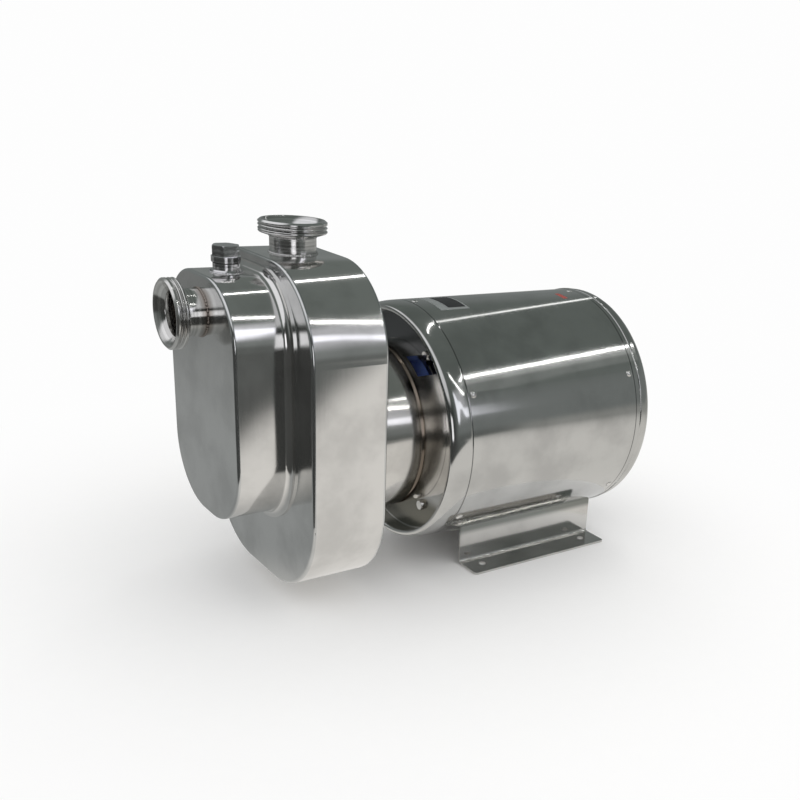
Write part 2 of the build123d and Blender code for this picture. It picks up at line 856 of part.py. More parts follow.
def shroud_front_cap():
    rim = front_cap_ring(0.0) - front_cap_ring(shroud_sheet)
    behind = ring(front_cap_inner + 2 * shroud_sheet, casing_radius, mount_face, jacket_front + overrun)
    cap = rim - behind
    plate = ring(front_cap_inner + shroud_sheet / 2, casing_radius + seal_gap, cap_plate, mount_face)
    tongue_outer = shroud_radius - shroud_sheet - weld_gap
    tongue_front = jacket_front - joint_flange / 4
    tongue = ring(tongue_outer, tongue_outer - shroud_sheet, tongue_front, jacket_front + joint_flange)
    cap = cap + plate + tongue
    for angle in flange_angles():
        y, z = around(angle, flange_bolt_circle)
        cap = cap - bar(flange_bolt_radius, cap_plate - overrun, mount_face + overrun, y, z)
    return drill_screws(cap, jacket_front + screw_inset)


def drill_screws(solid, x):
    """Cuts the shroud's screw holes at one place along the shaft."""
    hole = Cylinder(screw_radius + weld_gap, 2 * joint_flange)
    for angle in screw_angles:
        solid = solid - radial(hole, x, angle, shroud_radius)
    return solid


def shroud_jacket():
    body = ring(shroud_radius, shroud_radius - shroud_sheet, jacket_front, jacket_back)
    body = drill_screws(body, jacket_front + screw_inset)
    body = drill_screws(body, jacket_back - screw_inset)
    for x, angle in foot_bolt_places():
        body = body - radial(Cylinder(foot_bolt_radius, foot_pad), x, angle, shroud_radius)
    vent = SlotOverall(vent_length, vent_width)
    cutter = extrude(vent, amount=joint_flange, both=True)
    for index in range(vent_count):
        angle = 270.0 + (index - (vent_count - 1) / 2) * vent_pitch
        body = body - radial(cutter, jacket_front + vent_place, angle, shroud_radius)
    return body


def shroud_rear_cap():
    outer = bar(shroud_radius, jacket_back, rear_cap_back)
    outer = fillet(outer.edges().group_by(Axis.X)[-1], rear_cap_round)
    inner = bar(shroud_radius - shroud_sheet, jacket_back - overrun, rear_cap_back - shroud_sheet)
    inner = fillet(inner.edges().group_by(Axis.X)[-1], rear_cap_round - shroud_sheet)
    cap = outer - inner - bar(grille_radius, jacket_back, rear_cap_back + overrun)
    bead = Pos(jacket_back + bead_place, 0, shaft_height) * Rot(0, 90, 0) * Torus(
        shroud_radius - bead_radius / 2, bead_radius
    )
    cap = cap + (bead - bar(shroud_radius - shroud_sheet, jacket_back - overrun, rear_cap_back))
    tongue_outer = shroud_radius - shroud_sheet - weld_gap
    tongue_inner = tongue_outer - shroud_sheet
    tongue_back = jacket_back + joint_flange / 4
    tongue = ring(tongue_outer, tongue_inner, jacket_back - joint_flange, tongue_back)
    joint = ring(shroud_radius - shroud_sheet / 2, tongue_inner, jacket_back, tongue_back)
    cap = drill_screws(cap + tongue + joint, jacket_back - screw_inset)
    y, z = around(gland_angle, gland_circle)
    return cap - bar(gland_radius + weld_gap, rear_cap_back - joint_flange, rear_cap_back + overrun, y, z)


def air_grille():
    start = rear_cap_back - shroud_sheet - grille_thickness
    end = start + grille_thickness
    rim = ring(grille_radius + grille_rim, grille_radius - grille_bar, start, end)
    body = bar(grille_hub, start, end) + rim
    pitch = (grille_radius - grille_hub) / grille_rings
    half = grille_bar / 2
    for index in range(1, grille_rings):
        middle = grille_hub + index * pitch
        body = body + ring(middle + half, middle - half, start, end)
    rib = block(start, end, -half, half, shaft_height + grille_hub / 2, shaft_height + grille_radius)
    for index in range(grille_ribs):
        body = body + turned(rib, (index + 0.5) * 360.0 / grille_ribs)
    return body


def jacket_screw_set():
    head = Cylinder(screw_head_radius, screw_head, align=(Align.CENTER, Align.CENTER, Align.MIN))
    head = fillet(head.edges().group_by(Axis.Z)[-1], screw_head / 2)
    shank = Cylinder(screw_radius, screw_length, align=(Align.CENTER, Align.CENTER, Align.MAX))
    screw = head + shank
    places = (jacket_front + screw_inset, jacket_back - screw_inset)
    return [radial(screw, x, angle, shroud_radius) for x in places for angle in screw_angles]


def cable_gland():
    y, z = around(gland_angle, gland_circle)
    cap_nut = hexagon(gland_flats, gland_hex) + upright_cone(gland_dome_base, gland_dome_tip, gland_dome)
    cap_nut = Pos(rear_cap_back, y, z) * Rot(0, 90, 0) * cap_nut
    shank = bar(gland_radius, rear_cap_back - gland_dome, rear_cap_back, y, z)
    reach = gland_dome + overrun
    return cap_nut + shank - bar(cable_bore, rear_cap_back - reach, rear_cap_back + reach, y, z)


def foot_profile():
    """The bent sheet's section across the shaft."""
    inner = web_half_width - foot_sheet
    saddle_inner = shroud_radius + weld_gap
    saddle = Pos(0, shaft_height) * (Circle(saddle_inner + foot_sheet) - Circle(saddle_inner))
    under_shaft = Rectangle(2 * web_half_width, shaft_height, align=(Align.CENTER, Align.MIN))
    saddle = saddle & under_shaft
    section = saddle
    web_top = shaft_height - math.sqrt((saddle_inner + foot_sheet / 2) ** 2 - web_half_width**2)
    for side in (-1, 1):
        flange = Rectangle(foot_half_width - inner, foot_sheet, align=(Align.MIN, Align.MIN))
        web = Rectangle(foot_sheet, web_top, align=(Align.MIN, Align.MIN))
        angle_iron = Pos(inner, 0) * (flange + web)
        inside_corner = angle_iron.vertices().sort_by_distance((web_half_width, foot_sheet, 0))[0]
        angle_iron = fillet(inside_corner, bend_radius)
        outside_corner = angle_iron.vertices().sort_by_distance((inner, 0, 0))[0]
        angle_iron = fillet(outside_corner, bend_radius + foot_sheet)
        section = section + (angle_iron if side > 0 else mirror(angle_iron, about=Plane.YZ))
    return section


def foot_bracket():
    body = slab(foot_profile(), -foot_length / 2, foot_length / 2)
    hole = Cylinder(foot_hole_radius, 4 * foot_sheet)
    for x in (-hole_spacing_x / 2, hole_spacing_x / 2):
        for y in (-hole_spacing_y / 2, hole_spacing_y / 2):
            body = body - Pos(x, y, 0) * hole
    for x, angle in foot_bolt_places():
        body = body - radial(Cylinder(foot_bolt_radius, foot_pad), x, angle, shroud_radius)
    upright = body.edges().filter_by(Axis.Z)
    corners = upright.filter_by(lambda edge: abs(edge.center().Y) > foot_half_width - weld_gap)
    return fillet(corners, foot_corner)


def foot_bolt_set():
    seat = shroud_radius + weld_gap + foot_sheet
    bolt = hex_bolt(foot_bolt_radius, foot_bolt_length + foot_washer)
    disc = Cylinder(foot_washer_radius, foot_washer, align=(Align.CENTER, Align.CENTER, Align.MAX))
    return [radial(bolt + disc, x, angle, seat + foot_washer + weld_gap) for x, angle in foot_bolt_places()]


nodes = {
    "suction_union": suction_union(),
    "suction_stub": suction_stub(),
    "front_tank_plate": front_tank_plate(),
    "front_tank_shell": front_tank_shell(),
    "front_tank_collar": front_tank_collar(),
    "fill_boss": fill_boss(),
    "fill_gasket": fill_gasket(),
    "fill_plug": fill_plug(),
    "check_flap": check_flap(),
    "flap_pin": flap_pin(),
    "flap_ears": flap_ears(),
    "rear_tank_front_plate": rear_tank_front_plate(),
    "rear_tank_shell": rear_tank_shell(),
    "rear_tank_back_plate": rear_tank_back_plate(),
    "discharge_stub": discharge_stub(),
    "discharge_union": discharge_union(),
    "suction_tube": suction_tube(),
    "pump_casing": pump_casing(),
    "diffuser": diffuser(),
    "impeller": impeller(),
    "impeller_key": impeller_key(),
    "impeller_nut": impeller_nut(),
    "seal_bellows": seal_bellows(),
    "seal_face": seal_face(),
    "seal_seat": seal_seat(),
    "back_cover": back_cover(),
    "casing_bolts": casing_bolt_set(),
    "lantern": lantern(),
    "flange_bolts": flange_bolt_set(),
    "water_flinger": water_flinger(),
    "shaft": shaft(),
    "motor_front_endshield": motor_front_endshield(),
    "front_bearing_outer": bearing_outer(front_bearing_place),
    "front_bearing_inner": bearing_inner(front_bearing_place),
    "motor_frame": motor_frame(),
    "stator_core": stator_core(),
    "front_winding": winding(stator_front - coil_length),
    "rear_winding": winding(stator_back),
    "rotor": rotor(),
    "rear_bearing_outer": bearing_outer(rear_bearing_place),
    "rear_bearing_inner": bearing_inner(rear_bearing_place),
    "motor_rear_endshield": motor_rear_endshield(),
    "cooling_fan": cooling_fan(),
    "terminal_box": terminal_box(),
    "terminal_cover": terminal_cover(),
    "shroud_front_cap": shroud_front_cap(),
    "shroud_jacket": shroud_jacket(),
    "shroud_rear_cap": shroud_rear_cap(),
    "air_grille": air_grille(),
    "jacket_screws": jacket_screw_set(),
    "cable_gland": cable_gland(),
    "foot_bracket": foot_bracket(),
    "foot_bolts": foot_bolt_set(),
}

os.makedirs("parts", exist_ok=True)
for name, shape in nodes.items():
    if isinstance(shape, list):
        solids = [solid for item in shape for solid in item.solids()]
        shape = Compound(children=solids)
    export_step(shape, f"parts/{name}.step")
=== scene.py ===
import json
import math

import bmesh
import bpy
from mathutils import Matrix, Vector

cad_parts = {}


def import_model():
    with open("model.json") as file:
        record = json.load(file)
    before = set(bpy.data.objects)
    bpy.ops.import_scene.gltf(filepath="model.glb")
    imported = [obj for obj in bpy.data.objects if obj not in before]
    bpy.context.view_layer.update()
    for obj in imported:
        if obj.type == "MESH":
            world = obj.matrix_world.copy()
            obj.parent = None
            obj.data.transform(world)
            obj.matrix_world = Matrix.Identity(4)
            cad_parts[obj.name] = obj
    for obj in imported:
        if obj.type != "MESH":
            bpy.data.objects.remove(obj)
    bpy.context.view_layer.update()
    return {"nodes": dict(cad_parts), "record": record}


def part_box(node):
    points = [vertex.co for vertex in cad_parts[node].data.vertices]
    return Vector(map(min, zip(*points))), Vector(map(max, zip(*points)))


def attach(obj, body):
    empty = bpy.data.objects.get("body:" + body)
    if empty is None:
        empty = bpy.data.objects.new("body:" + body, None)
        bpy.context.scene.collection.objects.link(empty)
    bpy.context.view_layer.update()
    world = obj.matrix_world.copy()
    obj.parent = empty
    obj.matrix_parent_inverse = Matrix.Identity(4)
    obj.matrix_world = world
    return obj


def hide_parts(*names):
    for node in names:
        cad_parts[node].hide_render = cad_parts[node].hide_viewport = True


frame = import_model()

# A stainless food-grade pump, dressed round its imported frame. Lengths are in metres.

nodes = frame["nodes"]
ROOT_BODY = "pump_set"
FULL_TURN = 2.0 * math.pi
X_AXIS = 0
Z_AXIS = 2

# Places read from the frame
SHAFT_HEIGHT = sum(corner.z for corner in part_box("shroud_jacket")) / 2
SUCTION_HEIGHT = sum(corner.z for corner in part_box("suction_union")) / 2
SUCTION_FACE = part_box("suction_union")[0].x
FRONT_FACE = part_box("front_tank_plate")[0].x
DISCHARGE_X = sum(corner.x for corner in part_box("discharge_union")) / 2
DISCHARGE_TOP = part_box("discharge_union")[1].z
REAR_TANK_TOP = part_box("rear_tank_shell")[1].z
FRONT_TANK_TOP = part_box("front_tank_plate")[1].z
BOSS_X = sum(corner.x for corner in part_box("fill_boss")) / 2
CASING_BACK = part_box("pump_casing")[1].x
LANTERN_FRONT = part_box("lantern")[0].x
CAP_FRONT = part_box("shroud_front_cap")[0].x
JACKET_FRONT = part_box("shroud_jacket")[0].x
JACKET_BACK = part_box("shroud_jacket")[1].x
JACKET_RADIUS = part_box("shroud_jacket")[1].y
TUBE_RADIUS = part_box("suction_stub")[1].y
DISH_RADIUS = JACKET_RADIUS - 0.0105
DISH_FLOOR = JACKET_FRONT - 0.0075


class Value:
    """A socket of a finish's node tree. Arithmetic on it adds Math nodes."""

    def __init__(self, finish, socket):
        self.finish = finish
        self.socket = socket

    def __add__(self, other):
        return self.finish.math("ADD", self, other)

    def __radd__(self, other):
        return self.finish.math("ADD", other, self)

    def __sub__(self, other):
        return self.finish.math("SUBTRACT", self, other)

    def __rsub__(self, other):
        return self.finish.math("SUBTRACT", other, self)

    def __mul__(self, other):
        return self.finish.math("MULTIPLY", self, other)

    def __rmul__(self, other):
        return self.finish.math("MULTIPLY", other, self)

    def __truediv__(self, other):
        return self.finish.math("DIVIDE", self, other)

    def __rtruediv__(self, other):
        return self.finish.math("DIVIDE", other, self)

    def root(self):
        return self.finish.math("SQRT", self)

    def size(self):
        return self.finish.math("ABSOLUTE", self)

    def wave(self):
        return self.finish.math("SINE", self)

    def over(self, start, end):
        """0 before start, 1 after end and a soft step between them."""
        sockets = {"Value": self, "From Min": start, "From Max": end}
        return self.finish.add("MapRange", {"interpolation_type": "SMOOTHSTEP"}, sockets)

    def near(self, place, reach):
        """1 at a place, falling softly to 0 at its reach."""
        return 1.0 - (self - place).size().over(0.0, reach)


class Finish:
    """A material: a shader with plain numbers, and what varies over the surface."""

    def __init__(self, name, **plain):
        self.material = bpy.data.materials.new(name)
        self.material.use_nodes = True
        self.tree = self.material.node_tree
        self.tree.nodes.clear()
        self.shader = self.tree.nodes.new("ShaderNodeBsdfPrincipled")
        self.output = self.tree.nodes.new("ShaderNodeOutputMaterial")
        self.tree.links.new(self.shader.outputs[0], self.output.inputs["Surface"])
        for socket, value in plain.items():
            self.set(socket.replace("_", " "), value)

    def feed(self, socket, value):
        """Links a value to a socket, or sets a number, vector or colour on it."""
        if isinstance(value, Value):
            self.tree.links.new(value.socket, socket)
        elif isinstance(value, (tuple, list)) and len(value) == 3 and len(socket.default_value) == 4:
            socket.default_value = (*value, 1.0)
        else:
            socket.default_value = value

    def set(self, socket, value):
        self.feed(self.shader.inputs[socket], value)

    def now(self, socket):
        """What already feeds a socket of the shader."""
        return Value(self, self.shader.inputs[socket].links[0].from_socket)

    def lay_colour(self, colour, share):
        """Lays another colour over the base colour: heat tint, dark seams and painted shade."""
        self.set("Base Color", self.mix(self.now("Base Color"), colour, share))

    def add(self, kind, settings=None, sockets=None, output=0):
        """A node of any kind: its settings, then the values or links of its sockets."""
        node = self.tree.nodes.new("ShaderNode" + kind)
        for name, value in (settings or {}).items():
            setattr(node, name, value)
        for name, value in (sockets or {}).items():
            self.feed(node.inputs[name], value)
        return Value(self, node.outputs[output])

    def math(self, operation, first, second=None):
        sockets = {0: first} if second is None else {0: first, 1: second}
        return self.add("Math", {"operation": operation}, sockets)

    def mix(self, first, second, share):
        """A colour between two colours."""
        sockets = {0: share, 6: first, 7: second}
        return self.add("Mix", {"data_type": "RGBA"}, sockets, output=2)

    def place(self):
        return self.add("TexCoord", output="Object")

    def axes(self):
        """X, Y and Z of the surface point."""
        split = self.tree.nodes.new("ShaderNodeSeparateXYZ")
        self.tree.links.new(self.place().socket, split.inputs[0])
        return [Value(self, output) for output in split.outputs]

    def noise(self, scale, stretch=(1.0, 1.0, 1.0), detail=3.0, place=None):
        mapped = self.add("Mapping", sockets={"Vector": place or self.place(), "Scale": stretch})
        return self.add("TexNoise", sockets={"Vector": mapped, "Scale": scale, "Detail": detail})

    def bump(self, height):
        """Relief of the surface, its height in metres."""
        self.set("Normal", self.add("Bump", sockets={"Height": height, "Distance": 1.0}))


def scaled(colour, factor):
    return tuple(min(1.0, part * factor) for part in colour)


# Distances from the pump's axes

def off_axis(first, second):
    return (first * first + second * second).root()


def about_shaft(x, y, z):
    return off_axis(y, z - SHAFT_HEIGHT)


def about_suction(x, y, z):
    return off_axis(y, z - SUCTION_HEIGHT)


def about_discharge(x, y, z):
    return off_axis(x - DISCHARGE_X, y)


def about_boss(x, y, z):
    return off_axis(x - BOSS_X, y)


# Stainless finishes. A pair of heights or distances is where a soft edge starts and where it ends.
HEAT_TINT = (0.16, 0.11, 0.07)
HEAT_TINT_REACH = 0.004
SUCTION_TINT = (0.20, 0.145, 0.11)
SUCTION_TINT_REACH = 0.010
# Painted shade for the front cap's recessed dish, below and above the shaft
DISH_SHADE_BELOW = (0.17, 0.165, 0.14)
DISH_SHADE_ABOVE = (0.11, 0.115, 0.12)
DISH_SIDE = (0.0, 0.002)
DISH_BOTTOM = (-0.002, -0.001)
DISH_ABOVE = (SHAFT_HEIGHT + 0.065, SHAFT_HEIGHT + 0.085)
DISH_BELOW = (SHAFT_HEIGHT - 0.10, SHAFT_HEIGHT - 0.08)
SEAM_DARK = (0.05, 0.05, 0.05)
SEAM_REACH = 0.0012
SEAM_INSET = 0.0006
# Painted shade for the foot's saddle under the shroud
SADDLE_SHADE = (0.24, 0.25, 0.235)
SADDLE_HEIGHT = (0.040, 0.050)


def stainless(
    name, colour, roughness, grain_stretch, grain=0.000004, wave=0.0009, wave_scale=7.0, smudge=0.05,
):
    """Polished stainless: slow waves of the sheet, a fine grain one way and smudged gloss."""
    finish = Finish(name, Metallic=1.0)
    smudges = finish.noise(scale=11.0, detail=5.0)
    lines = finish.noise(scale=1.0, stretch=grain_stretch, detail=2.0)
    waves = finish.noise(scale=wave_scale, detail=1.0)
    clouds = finish.noise(scale=16.0, detail=4.0)
    finish.set("Base Color", finish.mix(scaled(colour, 0.86), scaled(colour, 1.05), clouds.over(0.3, 0.62)))
    finish.set("Roughness", (smudges - 0.5) * smudge + (lines - 0.5) * (0.6 * smudge) + roughness)
    finish.bump(waves * wave + lines * grain)
    return finish


def tank_steel():
    return stainless("tank_steel", (0.71, 0.70, 0.685), 0.10, grain_stretch=(700.0, 25.0, 25.0), smudge=0.04)


def satin_steel():
    return stainless(
        "satin_steel", (0.60, 0.605, 0.60), 0.14, grain_stretch=(30.0, 420.0, 30.0), grain=0.000006,
        wave=0.0003,
    )


def casing_steel():
    """Polished, with heat tint at the joint with the lantern."""
    finish = stainless(
        "casing_steel", (0.66, 0.645, 0.62), 0.12, grain_stretch=(900.0, 12.0, 12.0), wave=0.0004,
        smudge=0.04,
    )
    x, y, z = finish.axes()
    finish.lay_colour(HEAT_TINT, x.near(CASING_BACK, HEAT_TINT_REACH) * 0.6)
    return finish


def lantern_steel_painted_light():
    """The same sheet, painted paler than the casing as painted light, a little duller, with heat tint at the
    joint with the casing.
    """
    # Painted light: a paler base colour than the casing's sheet
    finish = stainless(
        "lantern_steel_painted_light", (0.80, 0.77, 0.73), 0.16, grain_stretch=(900.0, 12.0, 12.0), wave=0.0005,
        smudge=0.08,
    )
    x, y, z = finish.axes()
    finish.lay_colour(HEAT_TINT, x.near(LANTERN_FRONT, HEAT_TINT_REACH) * 0.8)
    return finish


def shroud_steel():
    """Polished, but duller on the top and bottom of the front cap's dish, with painted shade there, and with
    dark seams.
    """
    finish = stainless(
        "shroud_steel", (0.56, 0.558, 0.545), 0.10, grain_stretch=(520.0, 14.0, 14.0), wave=0.0005,
        wave_scale=5.0, smudge=0.04,
    )
    x, y, z = finish.axes()
    dish = (DISH_RADIUS - about_shaft(x, y, z)).over(*DISH_SIDE) * (x - DISH_FLOOR).over(*DISH_BOTTOM)
    above = z.over(*DISH_ABOVE)
    below = 1.0 - z.over(*DISH_BELOW)
    # Painted shade darkens the top and bottom of the recessed dish; the same mask makes it duller
    dish_shade_and_dullness = dish * (above + below)
    seams = x.near(JACKET_FRONT - SEAM_INSET, SEAM_REACH) + x.near(JACKET_BACK, SEAM_REACH)
    finish.lay_colour(finish.mix(DISH_SHADE_BELOW, DISH_SHADE_ABOVE, above), dish_shade_and_dullness)
    finish.lay_colour(SEAM_DARK, seams * 0.85)
    finish.set("Roughness", finish.now("Roughness") + dish_shade_and_dullness * 0.16)
    return finish


def foot_steel():
    """Polished, with painted shade darkening the saddle under the shroud."""
    finish = stainless(
        "foot_steel", (0.60, 0.59, 0.57), 0.11, grain_stretch=(14.0, 500.0, 500.0), wave=0.0003,
        wave_scale=12.0,
    )
    x, y, z = finish.axes()
    # Painted shade: the saddle is darkened where it would reflect the shadowed floor
    finish.lay_colour(SADDLE_SHADE, z.over(*SADDLE_HEIGHT))
    return finish


def turned_steel(name, colour, roughness, axis, out):
    """Steel from the lathe: fine marks and broader bright and dull rings round an axis."""
    finish = Finish(name, Metallic=1.0)
    point = finish.axes()
    turned = finish.add("CombineXYZ", sockets={0: point[axis], 1: out(*point)})
    marks = finish.noise(scale=1500.0, detail=1.0, place=turned)
    rings = finish.noise(scale=330.0, detail=2.0, place=turned)
    smudges = finish.noise(scale=40.0, detail=4.0)
    worn = rings.over(0.36, 0.62) * 0.7 + smudges.over(0.25, 0.6) * 0.3
    uneven = (smudges - 0.5) * 0.08 + (marks - 0.5) * 0.08 + rings.over(0.45, 0.75) * 0.12
    finish.set("Base Color", finish.mix(scaled(colour, 0.62), colour, worn))
    finish.set("Roughness", uneven + roughness)
    finish.bump(marks * 0.00003)
    return finish


def suction_steel():
    """Turned round the suction port's axis, with heat tint where the tube is welded to the tank."""
    finish = turned_steel("suction_steel", (0.76, 0.75, 0.73), 0.11, X_AXIS, about_suction)
    x, y, z = finish.axes()
    finish.lay_colour(SUCTION_TINT, x.near(FRONT_FACE, SUCTION_TINT_REACH) * 0.7)
    return finish


def discharge_steel():
    return turned_steel("discharge_steel", (0.76, 0.75, 0.74), 0.11, Z_AXIS, about_discharge)


def boss_steel():
    return turned_steel("boss_steel", (0.76, 0.75, 0.76), 0.11, Z_AXIS, about_boss)


def inner_steel():
    return turned_steel("inner_steel", (0.60, 0.60, 0.58), 0.27, X_AXIS, about_shaft)


def bearing_steel():
    return turned_steel("bearing_steel", (0.72, 0.72, 0.72), 0.14, X_AXIS, about_shaft)


def bolt_steel():
    return stainless(
        "bolt_steel", (0.70, 0.69, 0.67), 0.20, grain_stretch=(160.0, 160.0, 160.0), wave=0.0001,
        wave_scale=60.0,
    )


def grille_steel():
    return stainless(
        "grille_steel", (0.58, 0.57, 0.55), 0.28, grain_stretch=(30.0, 300.0, 300.0), wave=0.0001,
    )


# Other finishes
CORE_SHEET = 0.001
WIRE_PITCH = 0.0022
WIRE_SLANT = 0.6


def speckled(name, dark, pale, roughness, scale, depth, **plain):
    """A plain coat with small specks of colour and a fine uneven surface."""
    finish = Finish(name, **plain)
    specks = finish.noise(scale=scale, detail=4.0)
    finish.set("Base Color", finish.mix(dark, pale, specks.over(0.35, 0.65)))
    finish.set("Roughness", (specks - 0.5) * 0.16 + roughness)
    finish.bump(specks * depth)
    return finish


def blue_paint():
    return speckled(
        "blue_paint", (0.170, 0.272, 0.800), (0.221, 0.340, 0.800), 0.32, scale=260.0, depth=0.00006,
        Coat_Weight=0.4,
    )


def core_steel():
    """Stacked thin sheets, dull and with stains."""
    finish = Finish("core_steel", Metallic=0.7)
    x, y, z = finish.axes()
    sheets = (x * (FULL_TURN / CORE_SHEET)).wave()
    stains = finish.noise(scale=30.0, detail=4.0)
    finish.set("Base Color", finish.mix((0.10, 0.09, 0.085), (0.24, 0.235, 0.23), stains))
    finish.set("Roughness", stains * 0.2 + 0.4)
    finish.bump(sheets * 0.00012)
    return finish


def copper():
    """Lacquered wire, wound round the shaft's axis."""
    finish = Finish("copper", Metallic=0.85, Coat_Weight=0.6)
    x, y, z = finish.axes()
    turns = ((about_shaft(x, y, z) + x * WIRE_SLANT) * (FULL_TURN / WIRE_PITCH)).wave()
    stains = finish.noise(scale=50.0, detail=3.0)
    finish.set("Base Color", finish.mix((0.42, 0.15, 0.05), (0.72, 0.34, 0.15), stains))
    finish.set("Roughness", stains * 0.2 + 0.28)
    finish.bump(turns * 0.0004)
    return finish


def seal_rubber():
    return speckled(
        "seal_rubber", (0.012, 0.012, 0.012), (0.03, 0.03, 0.03), 0.72, scale=900.0, depth=0.00005,
    )


def seal_carbon():
    return speckled("seal_carbon", (0.02, 0.02, 0.02), (0.05, 0.05, 0.05), 0.35, scale=400.0, depth=0.00002)


def seal_ceramic():
    return speckled("seal_ceramic", (0.78, 0.76, 0.70), (0.86, 0.84, 0.79), 0.25, scale=120.0, depth=0.00001)


def black_plastic():
    return speckled(
        "black_plastic", (0.018, 0.018, 0.019), (0.035, 0.035, 0.036), 0.5, scale=700.0, depth=0.00008,
    )


finishes = {
    "union_steel": suction_steel(),
    "satin_steel": satin_steel(),
    "tank_steel": tank_steel(),
    "boss_steel": boss_steel(),
    "casing_steel": casing_steel(),
    "inner_steel": inner_steel(),
    "shroud_steel": shroud_steel(),
    "foot_steel": foot_steel(),
    "bolt_steel": bolt_steel(),
    "blue_paint": blue_paint(),
    "bearing_steel": bearing_steel(),
    "core_steel": core_steel(),
    "copper": copper(),
    "seal_rubber": seal_rubber(),
    "seal_carbon": seal_carbon(),
    "seal_ceramic": seal_ceramic(),
    "black_plastic": black_plastic(),
    "grille_steel": grille_steel(),
}
discharge_finish = discharge_steel()


def dress(piece, finish):
    piece.data.materials.clear()
    piece.data.materials.append(finish.material)


for subpart in frame["record"]["subparts"]:
    dress(nodes[subpart["node"]], finishes[subpart["material_slot"]])
dress(nodes["discharge_stub"], discharge_finish)
dress(nodes["lantern"], lantern_steel_painted_light())


# Ways to make a piece

def object_from(name, mesh, finish):
    """Turns a finished bmesh into an object of the scene."""
    data = bpy.data.meshes.new(name)
    mesh.to_mesh(data)
    mesh.free()
    made = bpy.data.objects.new(name, data)
    bpy.context.scene.collection.objects.link(made)
    dress(made, finish)
    return made


def piece_from(name, mesh, finish):
    """A piece of the pump that stands still with its housing."""
    piece = object_from(name, mesh, finish)
    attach(piece, ROOT_BODY)
    return piece


def smooth(mesh, sharp_angle=0.6):
    """Shades a mesh smooth, except over edges sharper than an angle."""
    for face in mesh.faces:
        face.smooth = True
    for edge in mesh.edges:
        if len(edge.link_faces) == 2 and edge.calc_face_angle(0.0) > sharp_angle:
            edge.smooth = False


def outline(mesh, points, closed=False):
    """Joins points by edges, to a line or to a ring."""
    corners = [mesh.verts.new(point) for point in points]
    ends = corners[1:] + corners[:1] if closed else corners[1:]
    for first, second in zip(corners, ends):
        mesh.edges.new((first, second))


def spin(mesh, axis, angle, steps):
    """Sweeps a whole mesh round an axis through the origin."""
    bmesh.ops.spin(
        mesh, geom=mesh.verts[:] + mesh.edges[:], cent=(0, 0, 0), axis=axis, angle=angle, steps=steps,
        use_merge=angle == FULL_TURN,
    )


def lathe(profile, steps):
    """Spins a closed outline of (along, out) points round the X axis."""
    mesh = bmesh.new()
    outline(mesh, [(along, 0.0, out) for along, out in profile], closed=True)
    spin(mesh, (1, 0, 0), FULL_TURN, steps)
    bmesh.ops.recalc_face_normals(mesh, faces=mesh.faces[:])
    return mesh


# Dairy unions with their round thread
UNION_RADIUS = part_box("suction_union")[1].y
UNION_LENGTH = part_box("suction_union")[1].x - SUCTION_FACE
UNION_BACK = 0.0045
UNION_LIP = 0.0020
UNION_SEAT_RADIUS = 0.035
UNION_SEAT_DEPTH = 0.009
UNION_BORE = 0.025
UNION_EDGE = 0.0003
UNION_STEPS = 144
THREAD_PITCH = 0.0254 / 6.0
THREAD_DEPTH = 0.0019
THREAD_START = 0.0025
THREAD_END = 0.0128
THREAD_RUN_OUT = 0.002
THREAD_ROUNDNESS = 0.8
THREAD_POINTS = 56


def groove_depth(along, turn):
    """Depth of the thread's groove at a place along the union and round it."""
    phase = along / THREAD_PITCH - turn / FULL_TURN
    crest = 0.5 + 0.5 * math.cos(FULL_TURN * phase)
    run_in = min(1.0, max(0.0, (along - THREAD_START) / THREAD_RUN_OUT))
    run_out = min(1.0, max(0.0, (THREAD_END - along) / THREAD_RUN_OUT))
    return THREAD_DEPTH * (1.0 - crest ** THREAD_ROUNDNESS) * run_in * run_out


def union_profile():
    """The union from its conical seat over the thread to its neck and bore, with small broken edges."""
    shoulder = UNION_LENGTH - UNION_BACK
    root = UNION_RADIUS - 0.4 * THREAD_DEPTH
    face = [
        (0.0002, UNION_SEAT_RADIUS),
        (0.0, UNION_SEAT_RADIUS + UNION_EDGE),
        (0.0, UNION_RADIUS - UNION_LIP - UNION_EDGE),
        (UNION_EDGE, UNION_RADIUS - UNION_LIP),
        (UNION_LIP, UNION_RADIUS),
    ]
    thread = [
        (THREAD_START + (THREAD_END - THREAD_START) * index / THREAD_POINTS, UNION_RADIUS)
        for index in range(THREAD_POINTS + 1)
    ]
    back = [
        (shoulder - 0.0002, root),
        (shoulder + UNION_EDGE, root - 2.0 * UNION_EDGE),
        (UNION_LENGTH - 0.0008, TUBE_RADIUS + 0.0004),
        (UNION_LENGTH, TUBE_RADIUS),
        (UNION_LENGTH, UNION_BORE),
        (UNION_SEAT_DEPTH + 2.0 * UNION_EDGE, UNION_BORE),
        (UNION_SEAT_DEPTH - UNION_EDGE, UNION_BORE + 0.0004),
    ]
    return face + thread + back


def union_mesh():
    """A union lying along X from its sealing face at the origin."""
    mesh = lathe(union_profile(), UNION_STEPS)
    for vertex in mesh.verts:
        along = vertex.co.x
        out = math.hypot(vertex.co.y, vertex.co.z)
        if THREAD_START < along < THREAD_END and out > UNION_RADIUS - 0.0001:
            turn = math.atan2(vertex.co.y, vertex.co.z)
            share = 1.0 - groove_depth(along, turn) / out
            vertex.co.y *= share
            vertex.co.z *= share
    smooth(mesh)
    return mesh


def suction_union_piece():
    mesh = union_mesh()
    bmesh.ops.translate(mesh, verts=mesh.verts[:], vec=(SUCTION_FACE, 0.0, SUCTION_HEIGHT))
    piece = piece_from("suction_union_thread", mesh, finishes["union_steel"])
    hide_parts("suction_union")


